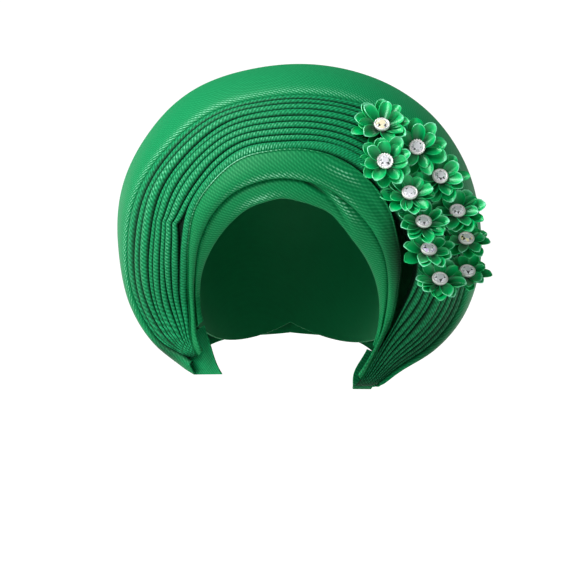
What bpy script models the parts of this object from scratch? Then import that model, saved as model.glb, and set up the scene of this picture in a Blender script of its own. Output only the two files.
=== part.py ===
# Ready-made pleated head wrap of green hand-woven strip cloth, with a spray of satin flowers.
# Lengths are millimetres until the meshes are made. The front faces -Y and up is +Z.
# The origin is the highest point inside the cap, where the crown of a head sits.
import bpy
import numpy as np
from mathutils.bvhtree import BVHTree

for thing in list(bpy.data.objects):
    bpy.data.objects.remove(thing, do_unlink=True)

MM = 0.001
GREEN = (0.0, 0.27, 0.085)
SATIN = (0.0, 0.36, 0.11)
SILVER = (0.72, 0.72, 0.74)
CLEAR = (0.93, 0.93, 0.96)

# The egg that the close cap follows, and the centre that every angle is taken from.
EGG_HALF_WIDTH = 77.0
EGG_HALF_DEPTH = 97.0
EGG_TOP = 100.0
EGG_BOTTOM = 162.0
FACE_RADIUS = 70.0
RIM_RADIUS = 145.0
RIM_DEPTH = 12.0
CLOTH = 2.0
STITCH_GAP = 0.6
CENTRE = np.array([0.0, 0.0, CLOTH - EGG_TOP])

# One row for each spoke, clockwise from the lower left as seen from the front.
# angle from straight up, face edge as a share of FACE_RADIUS, rim as a share of RIM_RADIUS,
# depth of the rim as a share of RIM_DEPTH, then shares of the way from edge to rim:
# where the lower band ends, where the upper band ends, where the pleats start and end.
SPOKES = np.array([
    (-151, 1.54, 0.86, -3.0, 0.24, 0.42, 0.46, 0.82),
    (-137, 1.35, 0.88, -1.0, 0.24, 0.42, 0.46, 0.84),
    (-125, 1.22, 0.92, 0.0, 0.12, 0.22, 0.25, 0.89),
    (-110, 1.06, 0.95, 0.7, 0.09, 0.17, 0.20, 0.89),
    (-88, 0.83, 0.96, 1.0, 0.15, 0.25, 0.30, 0.87),
    (-70, 0.70, 0.99, 1.0, 0.17, 0.31, 0.35, 0.83),
    (-50, 0.61, 1.00, 1.0, 0.17, 0.33, 0.36, 0.79),
    (-30, 0.54, 1.01, 1.0, 0.16, 0.35, 0.38, 0.77),
    (-10, 0.51, 1.00, 1.0, 0.15, 0.34, 0.37, 0.75),
    (10, 0.48, 1.01, 1.0, 0.15, 0.35, 0.38, 0.76),
    (30, 0.49, 1.03, 1.0, 0.15, 0.35, 0.38, 0.79),
    (50, 0.54, 1.05, 1.0, 0.14, 0.34, 0.37, 0.81),
    (70, 0.59, 1.06, 1.0, 0.16, 0.34, 0.38, 0.84),
    (85, 0.67, 1.05, 1.0, 0.18, 0.32, 0.40, 0.87),
    (100, 0.83, 1.04, 1.0, 0.17, 0.29, 0.41, 0.90),
    (112, 1.00, 1.02, 0.7, 0.14, 0.24, 0.36, 0.91),
    (125, 1.20, 0.97, 0.0, 0.11, 0.21, 0.28, 0.90),
    (138, 1.39, 0.90, -1.0, 0.10, 0.18, 0.25, 0.89),
    (152, 1.56, 0.88, -2.2, 0.10, 0.36, 0.42, 0.88),
])
ANGLE, EDGE, RIM, RIM_Y, LOWER_END, UPPER_END, FAN_START, FAN_END = range(8)

# How far back the front lies, as a share of the depth from face edge to rim.
LEAN = np.array([(0.0, 0.0), (0.16, 0.0), (0.36, 0.05), (0.60, 0.26), (0.80, 0.52), (0.92, 0.76), (1.0, 1.0)])

# One row for each flower: angle, share of the way to the rim, lift as a share of FLOWER_RADIUS,
# tilt upwards in degrees, radius as a share of FLOWER_RADIUS, turn of its petals in degrees.
FLOWER_RADIUS = 16.0
FLOWER_ASIDE = 0.06
PETALS = 9
FLOWERS = np.array([
    (37.4, 0.636, 0.44, 36, 1.00, 5),
    (52.2, 0.678, 0.52, 18, 1.00, 14),
    (48.4, 0.454, 0.46, 20, 0.92, 22),
    (65.3, 0.691, 0.58, 24, 0.94, 9),
    (66.6, 0.455, 0.52, 32, 0.92, 31),
    (78.5, 0.711, 0.72, 38, 0.94, 17),
    (80.2, 0.462, 0.68, 40, 0.90, 2),
    (87.9, 0.745, 0.76, 42, 0.86, 26),
    (91.2, 0.451, 0.84, 44, 0.90, 12),
    (98.2, 0.749, 0.86, 43, 0.88, 35),
    (101.8, 0.530, 0.88, 40, 0.90, 20),
])


def smooth(column, angles):
    """Values of one spoke column at any angles, by cubic curves whose slopes come from the rows beside them."""
    x, y = SPOKES[:, ANGLE], SPOKES[:, column]
    slope = np.gradient(y, x)
    k = np.clip(np.searchsorted(x, angles) - 1, 0, len(x) - 2)
    h = x[k + 1] - x[k]
    t = (angles - x[k]) / h
    start = (1 + 2 * t) * (1 - t) ** 2 * y[k] + t * (1 - t) ** 2 * h * slope[k]
    end = t ** 2 * (3 - 2 * t) * y[k + 1] + t ** 2 * (t - 1) * h * slope[k + 1]
    return start + end


def egg_reach(direction, grow=1.0):
    """Distance from CENTRE to the egg along unit directions: one over the root of the squared shares."""
    x, y, z = direction[..., 0], direction[..., 1], direction[..., 2]
    height = np.where(z > 0, EGG_TOP, EGG_BOTTOM)
    return grow / np.sqrt((x / EGG_HALF_WIDTH) ** 2 + (y / EGG_HALF_DEPTH) ** 2 + (z / height) ** 2)


def front(angles, shares):
    """Points of the front: out along each spoke from face edge to rim, and back by the LEAN table.

    The face edge lies on the egg, so its depth follows from its radius."""
    a = np.radians(angles)[:, None]
    edge = (FACE_RADIUS * smooth(EDGE, angles))[:, None]
    rim = (RIM_RADIUS * smooth(RIM, angles))[:, None]
    height = np.where(np.cos(a) > 0, EGG_TOP, EGG_BOTTOM)
    across = edge ** 2 * ((np.sin(a) / EGG_HALF_WIDTH) ** 2 + (np.cos(a) / height) ** 2)
    edge_y = -EGG_HALF_DEPTH * np.sqrt(np.clip(1 - across, 0.1, 1.0))
    rim_y = (RIM_DEPTH * smooth(RIM_Y, angles))[:, None]
    radius = edge + shares * (rim - edge)
    y = edge_y + np.interp(shares, LEAN[:, 0], LEAN[:, 1]) * (rim_y - edge_y)
    return np.stack([radius * np.sin(a), y, radius * np.cos(a)], axis=2) + CENTRE


def hood(first, angles, steps, grow, pace, back):
    """Rows that lead from the points `first` over the head to a seam down the middle of the back.

    Each row's directions follow a curve of three points: the first, one out to the side and `back`
    as far behind, and one on the seam. Its reach passes smoothly from the first point's to the egg's, `pace` times as fast."""
    start = first - CENTRE
    reach = np.linalg.norm(start, axis=1)[:, None]
    start = start / reach
    side = np.abs(np.linspace(-1.0, 1.0, len(angles)))
    bend = np.radians(np.clip(angles, -128, 128))
    middle = np.stack([np.sin(bend), back + 0.0 * bend, np.cos(bend)], axis=1)
    drop = np.radians(32 - 66 * side)
    finish = np.stack([0.0 * drop, np.cos(drop), np.sin(drop)], axis=1)
    t = steps[None, :, None]
    way = (1 - t) ** 2 * start[:, None] + 2 * t * (1 - t) * middle[:, None] + t ** 2 * finish[:, None]
    way = way / np.linalg.norm(way, axis=2, keepdims=True)
    soon = np.minimum(pace * steps[None, :], 1.0)
    blend = soon ** 2 * (3 - 2 * soon)
    far = (1 - blend) * reach + blend * egg_reach(way, grow)
    return way * far[..., None] + CENTRE


def outward(grid):
    """Unit normals of a grid of points, from its steps along and across.

    Where two rows meet in one point the normal of the column before is taken."""
    normal = np.cross(np.gradient(grid, axis=0), np.gradient(grid, axis=1))
    flat = np.linalg.norm(normal, axis=2) < 1e-6
    normal[flat] = np.roll(normal, 1, axis=1)[flat]
    return normal / np.linalg.norm(normal, axis=2, keepdims=True)


def add_body(name, points, faces, colour, roughness, metallic=0.0, smooth_faces=True):
    mesh = bpy.data.meshes.new(name)
    mesh.from_pydata((np.asarray(points) * MM).tolist(), [], faces)
    mesh.validate()
    body = bpy.data.objects.new(name, mesh)
    bpy.context.collection.objects.link(body)
    material = bpy.data.materials.new(name)
    material.use_nodes = True
    shader = material.node_tree.nodes["Principled BSDF"]
    shader.inputs["Base Color"].default_value = (*colour, 1.0)
    shader.inputs["Roughness"].default_value = roughness
    shader.inputs["Metallic"].default_value = metallic
    mesh.materials.append(material)
    mesh.polygons.foreach_set("use_smooth", [smooth_faces] * len(mesh.polygons))
    return body


def cloth_body(name, outer, wall_way, seam=False):
    """A closed wall: the outer grid, the same grid moved in by one cloth thickness, and its edges.

    With a seam the last column is shared between the rows that meet at the middle of the back."""
    rows, columns, _ = outer.shape
    if seam:
        wall_way[:, -1] = wall_way[:, -1] + wall_way[::-1, -1]
        wall_way[:, -1] /= np.linalg.norm(wall_way[:, -1], axis=1, keepdims=True)
    inner = outer - CLOTH * wall_way
    index = np.arange(rows * columns).reshape(rows, columns)
    if seam:
        index[:, -1] = np.minimum(index[:, -1], index[::-1, -1])
    skip = rows * columns
    faces = []
    for i in range(rows - 1):
        for j in range(columns - 1):
            ring = [index[i, j], index[i + 1, j], index[i + 1, j + 1], index[i, j + 1]]
            faces.append(ring)
            faces.append([k + skip for k in reversed(ring)])
    loop = list(index[:, 0][::-1]) + list(index[0, 1:])
    if not seam:
        loop += list(index[1:, -1])
    loop += list(index[-1, 1:-1][::-1])
    for k, here in enumerate(loop):
        after = loop[(k + 1) % len(loop)]
        faces.append([here, after, after + skip, here + skip])
    points = np.concatenate([outer.reshape(-1, 3), inner.reshape(-1, 3)])
    used = sorted({int(k) for face in faces for k in face})
    new = {old: k for k, old in enumerate(used)}
    faces = [[new[int(k)] for k in face] for face in faces]
    return add_body(name, points[used], faces, GREEN, 0.5)


def ring_body(name, rings, colour, roughness, metallic=0.0, smooth_faces=True):
    """A closed body of rings of points, each end closed by a fan to the middle of its ring."""
    count = len(rings[0])
    points = [p for ring in rings for p in ring]
    faces = []
    for k in range(len(rings) - 1):
        for i in range(count):
            j = (i + 1) % count
            faces.append([k * count + i, k * count + j, (k + 1) * count + j, (k + 1) * count + i])
    for ring_start, turn in ((0, 1), ((len(rings) - 1) * count, 0)):
        hub = len(points)
        points.append(np.mean(points[ring_start:ring_start + count], axis=0))
        for i in range(count):
            j = (i + 1) % count
            pair = [ring_start + j, ring_start + i] if turn else [ring_start + i, ring_start + j]
            faces.append(pair + [hub])
    return add_body(name, points, faces, colour, roughness, metallic, smooth_faces)


# Close cap: one wall whose front rolls outward into the lower band, then goes over the head.
LOWER_ROLL = 2.5
STEPS = np.linspace(0, 1, 9)[1:]
angles = np.linspace(-130, 140, 27)
share = np.array([0.0, 0.25, 0.6, 1.0])[None, :] * smooth(LOWER_END, angles)[:, None]
band = front(angles, share)
band[:, 1:3, 1] -= LOWER_ROLL
over = hood(band[:, -1], angles, STEPS, grow=1.0, pace=2.5, back=0.18)
cap = np.concatenate([band, over], axis=1)
cloth_body("head_cap", cap, outward(cap), seam=True)

# Upper band: a flat fold in front of the cap, its top edge rolled forward like piping.
UPPER_STAND = 6.5
angles = np.linspace(-136, 139, 29)
lower, upper = smooth(LOWER_END, angles)[:, None], smooth(UPPER_END, angles)[:, None]
share = lower + np.array([-0.06, 0.2, 0.6, 0.93, 1.0])[None, :] * (upper - lower)
band = front(angles, share)
band[:, 0, 1] -= CLOTH + STITCH_GAP
band[:, 1:, 1] -= UPPER_STAND * np.array([0.92, 1.0, 0.7, 0.03])[None, :]
cloth_body("upper_band", band, outward(band))

# Pleated fan: narrow ridges side by side, deep at the inner edge and tucked behind the outer crown.
RIDGES = 9
RIDGE_HEIGHT = 3.2
FAN_SINK = 1.0
TUCK = 6.0
angles = np.linspace(-139, 150, 32)
v = np.linspace(0, 1, 2 * RIDGES + 1)
start, end = smooth(FAN_START, angles)[:, None], smooth(FAN_END, angles)[:, None]
share = start + v[None, :] * (end - start)
base = front(angles, share)
way = outward(base)
ends = np.clip((angles - angles[0]) / 25, 0.25, 1) * np.clip((angles[-1] - angles) / 25, 0.25, 1)
ridge = RIDGE_HEIGHT * (0.5 - 0.5 * np.cos(2 * np.pi * RIDGES * v))
height = ends[:, None] * ridge[None, :]
height[:, 0] -= TUCK * (ends - 0.25)
height[:, -1] -= 0.92 * TUCK
fan = base + way * (height[..., None] - FAN_SINK)
pleats = cloth_body("pleated_fan", fan, way)
pleat_tree = BVHTree.FromPolygons([v.co / MM for v in pleats.data.vertices],
                                  [p.vertices for p in pleats.data.polygons])

# Outer crown: the wide smooth band outside the pleats, turned back over the rim to the nape.
CROWN_SWELL = 3.0
angles = np.linspace(-141, 151, 31)
start = smooth(FAN_END, angles)[:, None]
share = start + np.array([0.0, 0.22, 0.55, 0.82, 1.0])[None, :] * (1 - start)
band = front(angles, share)
band[:, 1:4] += outward(band)[:, 1:4] * CROWN_SWELL * np.array([0.8, 1.0, 0.5])[None, :, None]
over = hood(band[:, -1], angles, STEPS, grow=1.15, pace=1.0, back=0.75)
crown = np.concatenate([band, over], axis=1)
cloth_body("outer_crown", crown, outward(crown), seam=True)

# Tabs: the flat hemmed ends of the cloth that hang below the two gathers.
# Rows down each tab, for its edge by the face and then for its outer edge: the angle, the share of
# the way to the rim, and how far behind the front it lies as a share of TAB_DEPTH.
TAB_DEPTH = 10.0
LEFT_TAB = np.array([
    (-131.9, 0.02, 0.95, -130.3, 0.47, 1.35),
    (-141.5, 0.07, 1.55, -135.5, 0.72, 1.12),
    (-151.5, 0.28, 2.20, -144.5, 0.92, 1.40),
])
RIGHT_TAB = np.array([
    (147.4, -0.20, 1.35, 139.5, 0.44, 1.31),
    (152.9, -0.02, 1.90, 145.0, 0.67, 1.25),
    (155.5, 0.40, 1.90, 150.5, 0.88, 0.88),
])
for name, rows in (("left_tab", LEFT_TAB[::-1]), ("right_tab", RIGHT_TAB)):
    grid = np.stack([front(rows[:, k], rows[:, k + 1:k + 2])[:, 0] for k in (0, 3)], axis=1)
    grid[..., 1] += TAB_DEPTH * rows[:, [2, 5]]
    cloth_body(name, grid, outward(grid))

# Flowers: cupped satin petals on a short stem down to the pleats, a silver setting on each, and a
# cut stone in each setting.
SETTING = [(0.80, 0.15), (1.00, 0.38), (0.97, 0.65), (0.87, 0.68), (0.82, 0.52), (0.27, 0.32)]
STONE = [(0.18, 0.40), (0.75, 0.67), (0.75, 0.73), (0.45, 0.95)]
CUP = [(0.30, 0.01), (0.68, 0.14), (1.00, 0.39)]
SATIN_WALL = 1.5
SETTING_RADIUS = 6.0
for number, (angle, share, lift, tilt, size, turn) in enumerate(FLOWERS, start=1):
    near = front(np.array([angle - 2.0, angle, angle + 2.0]), share + np.array([[-0.02, 0.0, 0.02]]))
    away = outward(near)[1, 1]
    place = near[1, 1] + lift * FLOWER_RADIUS * away
    face = np.array([FLOWER_ASIDE, -np.cos(np.radians(tilt)), np.sin(np.radians(tilt))])
    face = face / np.linalg.norm(face)
    right = np.cross(np.array([0, 0, 1.0]), -face)
    right = right / np.linalg.norm(right)
    up = np.cross(right, -face)

    def ring(radii, height, count, turned=0.0):
        t = np.radians(turned) + np.arange(count) * 2 * np.pi / count
        x, z = radii * np.cos(t), radii * np.sin(t)
        return place + x[:, None] * right + z[:, None] * up + (height + 0 * t)[:, None] * face

    petal = np.tile([0.80, 1.0, 1.0], PETALS)
    notch = np.tile([0.75, 1.0, 1.0], PETALS)
    width = FLOWER_RADIUS * size
    top, under = [], []
    for reach, height in CUP:
        scale = 1 + (petal - 1) * reach
        drop = 1 + (notch - 1) * reach
        top.append(ring(width * reach * scale, FLOWER_RADIUS * height * drop, 3 * PETALS, turn))
        below = FLOWER_RADIUS * height * drop - SATIN_WALL
        under.append(ring(width * reach * scale * 0.98, below, 3 * PETALS, turn))
    stem = under[0] - place
    foot = place + 0.55 * (stem - (stem @ away)[:, None] * away)
    hits = [pleat_tree.ray_cast(tuple(p), tuple(-away))[3] for p in foot]
    foot = foot - (min(h for h in hits if h) - STITCH_GAP) * away
    ring_body(f"flower_{number:02d}", [foot, under[0], under[2]] + top[::-1], SATIN, 0.35)
    rings = [ring(np.full(12, r * SETTING_RADIUS), h * SETTING_RADIUS, 12) for r, h in SETTING]
    ring_body(f"setting_{number:02d}", rings, SILVER, 0.25, 1.0)
    rings = [ring(np.full(8, r * SETTING_RADIUS), h * SETTING_RADIUS, 8) for r, h in STONE]
    ring_body(f"stone_{number:02d}", rings, CLEAR, 0.05, 0.0, False)
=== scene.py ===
import bpy
import numpy as np
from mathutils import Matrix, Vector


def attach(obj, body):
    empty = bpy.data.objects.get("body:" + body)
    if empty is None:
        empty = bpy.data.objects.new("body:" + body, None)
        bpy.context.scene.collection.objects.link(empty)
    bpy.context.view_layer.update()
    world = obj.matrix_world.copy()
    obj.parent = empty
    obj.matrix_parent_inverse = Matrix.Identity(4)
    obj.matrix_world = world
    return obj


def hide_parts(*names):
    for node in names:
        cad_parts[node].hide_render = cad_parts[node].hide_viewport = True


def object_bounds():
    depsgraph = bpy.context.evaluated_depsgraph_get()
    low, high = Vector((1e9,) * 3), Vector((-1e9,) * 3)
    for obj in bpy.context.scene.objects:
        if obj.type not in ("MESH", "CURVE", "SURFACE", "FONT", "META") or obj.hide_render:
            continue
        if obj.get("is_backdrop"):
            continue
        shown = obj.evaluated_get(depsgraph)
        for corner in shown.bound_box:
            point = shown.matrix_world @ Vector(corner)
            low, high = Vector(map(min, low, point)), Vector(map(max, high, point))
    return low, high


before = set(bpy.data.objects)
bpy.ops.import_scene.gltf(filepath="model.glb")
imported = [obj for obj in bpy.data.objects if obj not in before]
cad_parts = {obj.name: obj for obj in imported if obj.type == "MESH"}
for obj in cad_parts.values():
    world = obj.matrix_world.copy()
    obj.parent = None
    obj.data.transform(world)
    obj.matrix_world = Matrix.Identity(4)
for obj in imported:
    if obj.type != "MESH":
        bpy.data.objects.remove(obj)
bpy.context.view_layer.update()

# Close cap: woven strip cloth, closed over the top and seamed down the middle of the back.
# Its front edge is rolled outward into the lower band, where a second, soft fold comes out from
# under the upper band and runs down to the edge of the opening on the right.
# All lengths are millimetres until a mesh is made. The cap follows an egg round CENTRE.
EGG_HALF_WIDTH = 77.0
EGG_HALF_DEPTH = 97.0
EGG_TOP = 100.0
EGG_BOTTOM = 162.0
FACE_RADIUS = 70.0
RIM_RADIUS = 145.0
RIM_DEPTH = 12.0
CLOTH = 2.0
CENTRE = np.array([0.0, 0.0, CLOTH - EGG_TOP])
MM = 0.001

# One row for each spoke, clockwise from the lower left as seen from the front: angle from straight
# up, edge of the opening as a share of FACE_RADIUS, rim as a share of RIM_RADIUS, depth of the rim
# as a share of RIM_DEPTH, then shares of the way from edge to rim: where the lower band ends, where
# the upper band ends, where the pleats start and end.
SPOKES = np.array([
    (-151, 1.54, 0.86, -3.0, 0.24, 0.42, 0.46, 0.82),
    (-137, 1.35, 0.88, -1.0, 0.24, 0.42, 0.46, 0.84),
    (-125, 1.22, 0.92, 0.0, 0.12, 0.22, 0.25, 0.89),
    (-110, 1.06, 0.95, 0.7, 0.09, 0.17, 0.20, 0.89),
    (-88, 0.83, 0.96, 1.0, 0.15, 0.25, 0.30, 0.87),
    (-70, 0.70, 0.99, 1.0, 0.17, 0.31, 0.35, 0.83),
    (-50, 0.61, 1.00, 1.0, 0.17, 0.33, 0.36, 0.79),
    (-30, 0.54, 1.01, 1.0, 0.16, 0.35, 0.38, 0.77),
    (-10, 0.51, 1.00, 1.0, 0.15, 0.34, 0.37, 0.75),
    (10, 0.48, 1.01, 1.0, 0.15, 0.35, 0.38, 0.76),
    (30, 0.49, 1.03, 1.0, 0.15, 0.35, 0.38, 0.79),
    (50, 0.54, 1.05, 1.0, 0.14, 0.34, 0.37, 0.81),
    (70, 0.59, 1.06, 1.0, 0.16, 0.34, 0.38, 0.84),
    (85, 0.67, 1.05, 1.0, 0.18, 0.32, 0.40, 0.87),
    (100, 0.83, 1.04, 1.0, 0.17, 0.29, 0.41, 0.90),
    (112, 1.00, 1.02, 0.7, 0.14, 0.24, 0.36, 0.91),
    (125, 1.20, 0.97, 0.0, 0.11, 0.21, 0.28, 0.90),
    (138, 1.39, 0.90, -1.0, 0.10, 0.18, 0.25, 0.89),
    (152, 1.56, 0.88, -2.2, 0.10, 0.36, 0.42, 0.88),
])
ANGLE, EDGE, RIM, RIM_Y, LOWER_END, UPPER_END, FAN_START, FAN_END = range(8)
# How far back the front lies: share of the way from edge to rim, share of the depth between them.
LEAN = np.array([
    (0.0, 0.0), (0.16, 0.0), (0.36, 0.05), (0.60, 0.26), (0.80, 0.52), (0.92, 0.76), (1.0, 1.0),
])

# The lower band in section, from the turned-in edge behind, round the roll and up the front:
# share of the band's width, millimetres further out, millimetres in front of the lie of the front.
LOWER_FOLD = np.array([
    (0.00, 8.0, -3.2), (0.00, 3.5, -3.2), (0.00, 1.0, -2.4), (0.00, 0.0, -0.8), (0.00, 0.4, 0.9),
    (0.03, 1.3, 2.1), (0.14, 1.6, 2.8), (0.35, 1.2, 3.2), (0.65, 0.4, 2.9), (0.88, 0.0, 1.6),
    (1.00, 0.0, 0.2),
])
LOWER_COLUMNS = 56
LOWER_ROLL_COLUMNS = 20
CAP_STEPS = 60
CAP_WALL = 1.2
# The soft crease in the lower band: angle, share of the band's width, depth in millimetres.
LOWER_CREASE = np.array([
    (4, 1.00, 0.0), (12, 0.92, 1.6), (24, 0.77, 2.6), (38, 0.62, 2.4), (51, 0.44, 1.7), (67, 0.26, 0.9),
    (85, 0.10, 0.0),
])
# Painted highlights where the roll catches the light, one row for each spot: angle, place across,
# half length along in degrees, half width, strength.
LOWER_GLINTS = [(-34, 0.20, 18, 0.12, 0.9), (46, 0.72, 9, 0.16, 0.8), (60, 0.62, 8, 0.16, 0.6)]
# Millimetres between the ribs and between the floats: the real ribs lie about 1 mm apart, too fine to
# tell at this distance, so they are drawn as coarse as the photograph shows them.
RIB_PITCH = 2.5
FLOAT_PITCH = 3.0
RIB_SLANT = 38.0
# Colours of the cloth: its green and the deeper green between its threads, then the painted highlight of its
# glints and its painted shadow.
STRIP_GREEN = "008f4f"
STRIP_DEEP = "007541"
STRIP_PAINTED_HIGHLIGHT = "9af0c6"
STRIP_SHADOW = "021a0e"
# Roughness at which the floats' painted glint is gone, and how much painted glint they take for each unit
# below it.
DULL = 0.67
BASE_GLINT = 0.16


def through(x, y, at):
    """A smooth curve through the points x, y: cubic pieces whose slopes come from the points beside them."""
    slope = np.gradient(y, x)
    k = np.clip(np.searchsorted(x, at) - 1, 0, len(x) - 2)
    h = x[k + 1] - x[k]
    t = (at - x[k]) / h
    start = (1 + 2 * t) * (1 - t) ** 2 * y[k] + t * (1 - t) ** 2 * h * slope[k]
    end = t ** 2 * (3 - 2 * t) * y[k + 1] + t ** 2 * (t - 1) * h * slope[k + 1]
    return start + end


def spoke(column, angles):
    """One column of SPOKES at any angles."""
    return through(SPOKES[:, ANGLE], SPOKES[:, column], angles)


def front(angles, shares):
    """Points of the front: out along each spoke from the opening to the rim, and back by the LEAN table.

    The edge of the opening lies on the egg, so its depth follows from its radius."""
    a = np.radians(angles)[:, None]
    edge = (FACE_RADIUS * spoke(EDGE, angles))[:, None]
    rim = (RIM_RADIUS * spoke(RIM, angles))[:, None]
    height = np.where(np.cos(a) > 0, EGG_TOP, EGG_BOTTOM)
    across = edge ** 2 * ((np.sin(a) / EGG_HALF_WIDTH) ** 2 + (np.cos(a) / height) ** 2)
    edge_y = -EGG_HALF_DEPTH * np.sqrt(np.clip(1 - across, 0.1, 1.0))
    rim_y = (RIM_DEPTH * spoke(RIM_Y, angles))[:, None]
    radius = edge + shares * (rim - edge)
    y = edge_y + through(LEAN[:, 0], LEAN[:, 1], shares) * (rim_y - edge_y)
    return np.stack([radius * np.sin(a), y, radius * np.cos(a)], axis=2) + CENTRE


def fold(angles, table, start, end, columns):
    """A fold laid along the front between two shares of the way from edge to rim.

    Its section is the smooth curve through the table's rows. Returns the shares of the way, and how
    far the cloth stands off the front."""
    row = np.linspace(0, len(table) - 1, columns)
    part, extra, stand = (through(np.arange(len(table)), table[:, k], row)[None, :] for k in range(3))
    span = (RIM_RADIUS * spoke(RIM, angles) - FACE_RADIUS * spoke(EDGE, angles))[:, None]
    return start[:, None] + part * (end - start)[:, None] + extra / span, stand + 0 * span


def painted_glints(angles, part, spots):
    """Painted highlights where rolled cloth catches the light, summed from one soft spot for each row.

    A row holds angle, place across the piece, half length along in degrees, half width, strength."""
    total = 0 * part
    for angle, place, long, wide, strength in spots:
        spread = ((angles[:, None] - angle) / long) ** 2 + ((part - place) / wide) ** 2
        total = total + strength * np.exp(-spread)
    return total


def egg_reach(direction, grow=1.0):
    """Distance from CENTRE to the egg along unit directions: one over the root of the squared shares."""
    x, y, z = direction[..., 0], direction[..., 1], direction[..., 2]
    height = np.where(z > 0, EGG_TOP, EGG_BOTTOM)
    return grow / np.sqrt((x / EGG_HALF_WIDTH) ** 2 + (y / EGG_HALF_DEPTH) ** 2 + (z / height) ** 2)


def hood(first, angles, steps, grow, pace, back):
    """Rows that lead from the points `first` over the top to a seam down the middle of the back.

    Each row's directions follow a curve of three points: the first, one out to the side and `back`
    as far behind, and one on the seam. Its reach passes from the first point's to the egg's."""
    start = first - CENTRE
    reach = np.linalg.norm(start, axis=1)[:, None]
    start = start / reach
    side = np.abs(np.linspace(-1.0, 1.0, len(angles)))
    bend = np.radians(np.clip(angles, -128, 128))
    middle = np.stack([np.sin(bend), back + 0.0 * bend, np.cos(bend)], axis=1)
    drop = np.radians(32 - 66 * side)
    finish = np.stack([0.0 * drop, np.cos(drop), np.sin(drop)], axis=1)
    t = steps[None, :, None]
    way = (1 - t) ** 2 * start[:, None] + 2 * t * (1 - t) * middle[:, None] + t ** 2 * finish[:, None]
    way = way / np.linalg.norm(way, axis=2, keepdims=True)
    soon = np.minimum(pace * steps[None, :], 1.0)
    blend = soon ** 2 * (3 - 2 * soon)
    far = (1 - blend) * reach + blend * egg_reach(way, grow)
    return way * far[..., None] + CENTRE


def outward(grid):
    """Unit normals of a grid, from its steps along and across; a pinched point takes the one before it."""
    normal = np.cross(np.gradient(grid, axis=0), np.gradient(grid, axis=1))
    flat = np.linalg.norm(normal, axis=2) < 1e-6
    normal[flat] = np.roll(normal, 1, axis=1)[flat]
    return normal / np.linalg.norm(normal, axis=2, keepdims=True)


def wall_way(grid, seam):
    """The way a cloth wall gets its thickness: the normals, shared by the two sides of a seam."""
    way = outward(grid)
    if seam:
        way[:, -1] += way[::-1, -1]
        way[:, -1] /= np.linalg.norm(way[:, -1], axis=1, keepdims=True)
    return way


def strip_threads(grid):
    """Thread millimetres of cloth laid flat across the front: along the ribs, then across them.

    Across is the height, plus a bend that slants the ribs down to the right over the top, less
    seven tenths of the depth. Along is the distance to the right, less half the depth."""
    x, y, z = grid[..., 0], grid[..., 1], grid[..., 2]
    return np.stack([x - 0.5 * y, z + RIB_SLANT * np.tanh((x - 10) / 55) - 0.7 * y], axis=-1)


def laid_threads(grid):
    """Thread millimetres of cloth that follows its own grid: mean length along the rows, length across."""
    along = np.cumsum(np.linalg.norm(np.diff(grid, axis=0, prepend=grid[:1]), axis=2), axis=0)
    across = np.cumsum(np.linalg.norm(np.diff(grid, axis=1, prepend=grid[:, :1]), axis=2), axis=1)
    return np.stack([along.mean(axis=1, keepdims=True) + 0 * across, across], axis=-1)


def wall_faces(index, skip, seam=False):
    """Quads of a closed wall: a grid, the same grid turned over `skip` points later, and their rim.

    With a seam the last column has no rim, because its two halves are sewn to each other."""
    corners = [index[:-1, :-1], index[1:, :-1], index[1:, 1:], index[:-1, 1:]]
    face = np.stack(corners, axis=-1).reshape(-1, 4)
    sides = [index[::-1, 0], index[0, 1:]] + [index[1:, -1]] * (not seam) + [index[-1, 1:-1][::-1]]
    loop = np.concatenate(sides)
    after = np.roll(loop, -1)
    rim = np.stack([loop, after, after + skip, loop + skip], axis=-1)
    return np.concatenate([face, face[:, ::-1] + skip, rim])


def added(mesh, smooth=True):
    """Puts a mesh into the scene under its own name, smooth but for edges sharper than 60 degrees."""
    if smooth:
        mesh.polygons.foreach_set("use_smooth", [True] * len(mesh.polygons))
        mesh.set_sharp_from_angle(angle=np.radians(60))
    piece = bpy.data.objects.new(mesh.name, mesh)
    bpy.context.collection.objects.link(piece)
    return piece


def tube_faces(index):
    """Faces of a closed tube from its rings of points: the sides, then both ends."""
    following = np.roll(index, -1, axis=1)
    sides = np.stack([index[:-1], following[:-1], following[1:], index[1:]], axis=-1).reshape(-1, 4)
    return sides.tolist() + [index[0][::-1].tolist(), index[-1].tolist()]


def cloth(name, outer, inner, threads, painted_shade_and_light, seam=False):
    """A closed cloth wall between two grids of points in mm, joined round their edges.

    `threads` are thread millimetres, kept as the UV map thread_mm, and the painted shade and light
    goes from 0 in the depth of a fold to 1 on its top, with painted glints above 1. The inner side
    takes the second material. With a seam, each row shares its last point with the row as far from
    the other end."""
    rows, columns, _ = outer.shape
    plain = np.arange(rows * columns).reshape(rows, columns)
    joined = plain.copy()
    if seam:
        joined[:, -1] = np.minimum(joined[:, -1], joined[::-1, -1])
    skip = rows * columns
    used, faces = np.unique(wall_faces(joined, skip, seam), return_inverse=True)
    points = np.concatenate([outer.reshape(-1, 3), inner.reshape(-1, 3)])[used] * MM
    mesh = bpy.data.meshes.new(name)
    mesh.from_pydata(points.tolist(), [], faces.reshape(-1, 4).tolist())
    corners = wall_faces(plain, skip, seam).ravel() % skip
    layer = mesh.uv_layers.new(name="thread_mm")
    layer.data.foreach_set("uv", threads.reshape(-1, 2)[corners].ravel().astype(np.float32))
    tone = mesh.attributes.new("painted_shade_and_light", "FLOAT", "POINT")
    tone.data.foreach_set("value", np.tile(painted_shade_and_light.ravel(), 2)[used].astype(np.float32))
    sides = np.zeros(len(mesh.polygons), dtype=np.int32)
    sides[(rows - 1) * (columns - 1):2 * (rows - 1) * (columns - 1)] = 1
    mesh.polygons.foreach_set("material_index", sides)
    return added(mesh)


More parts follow.
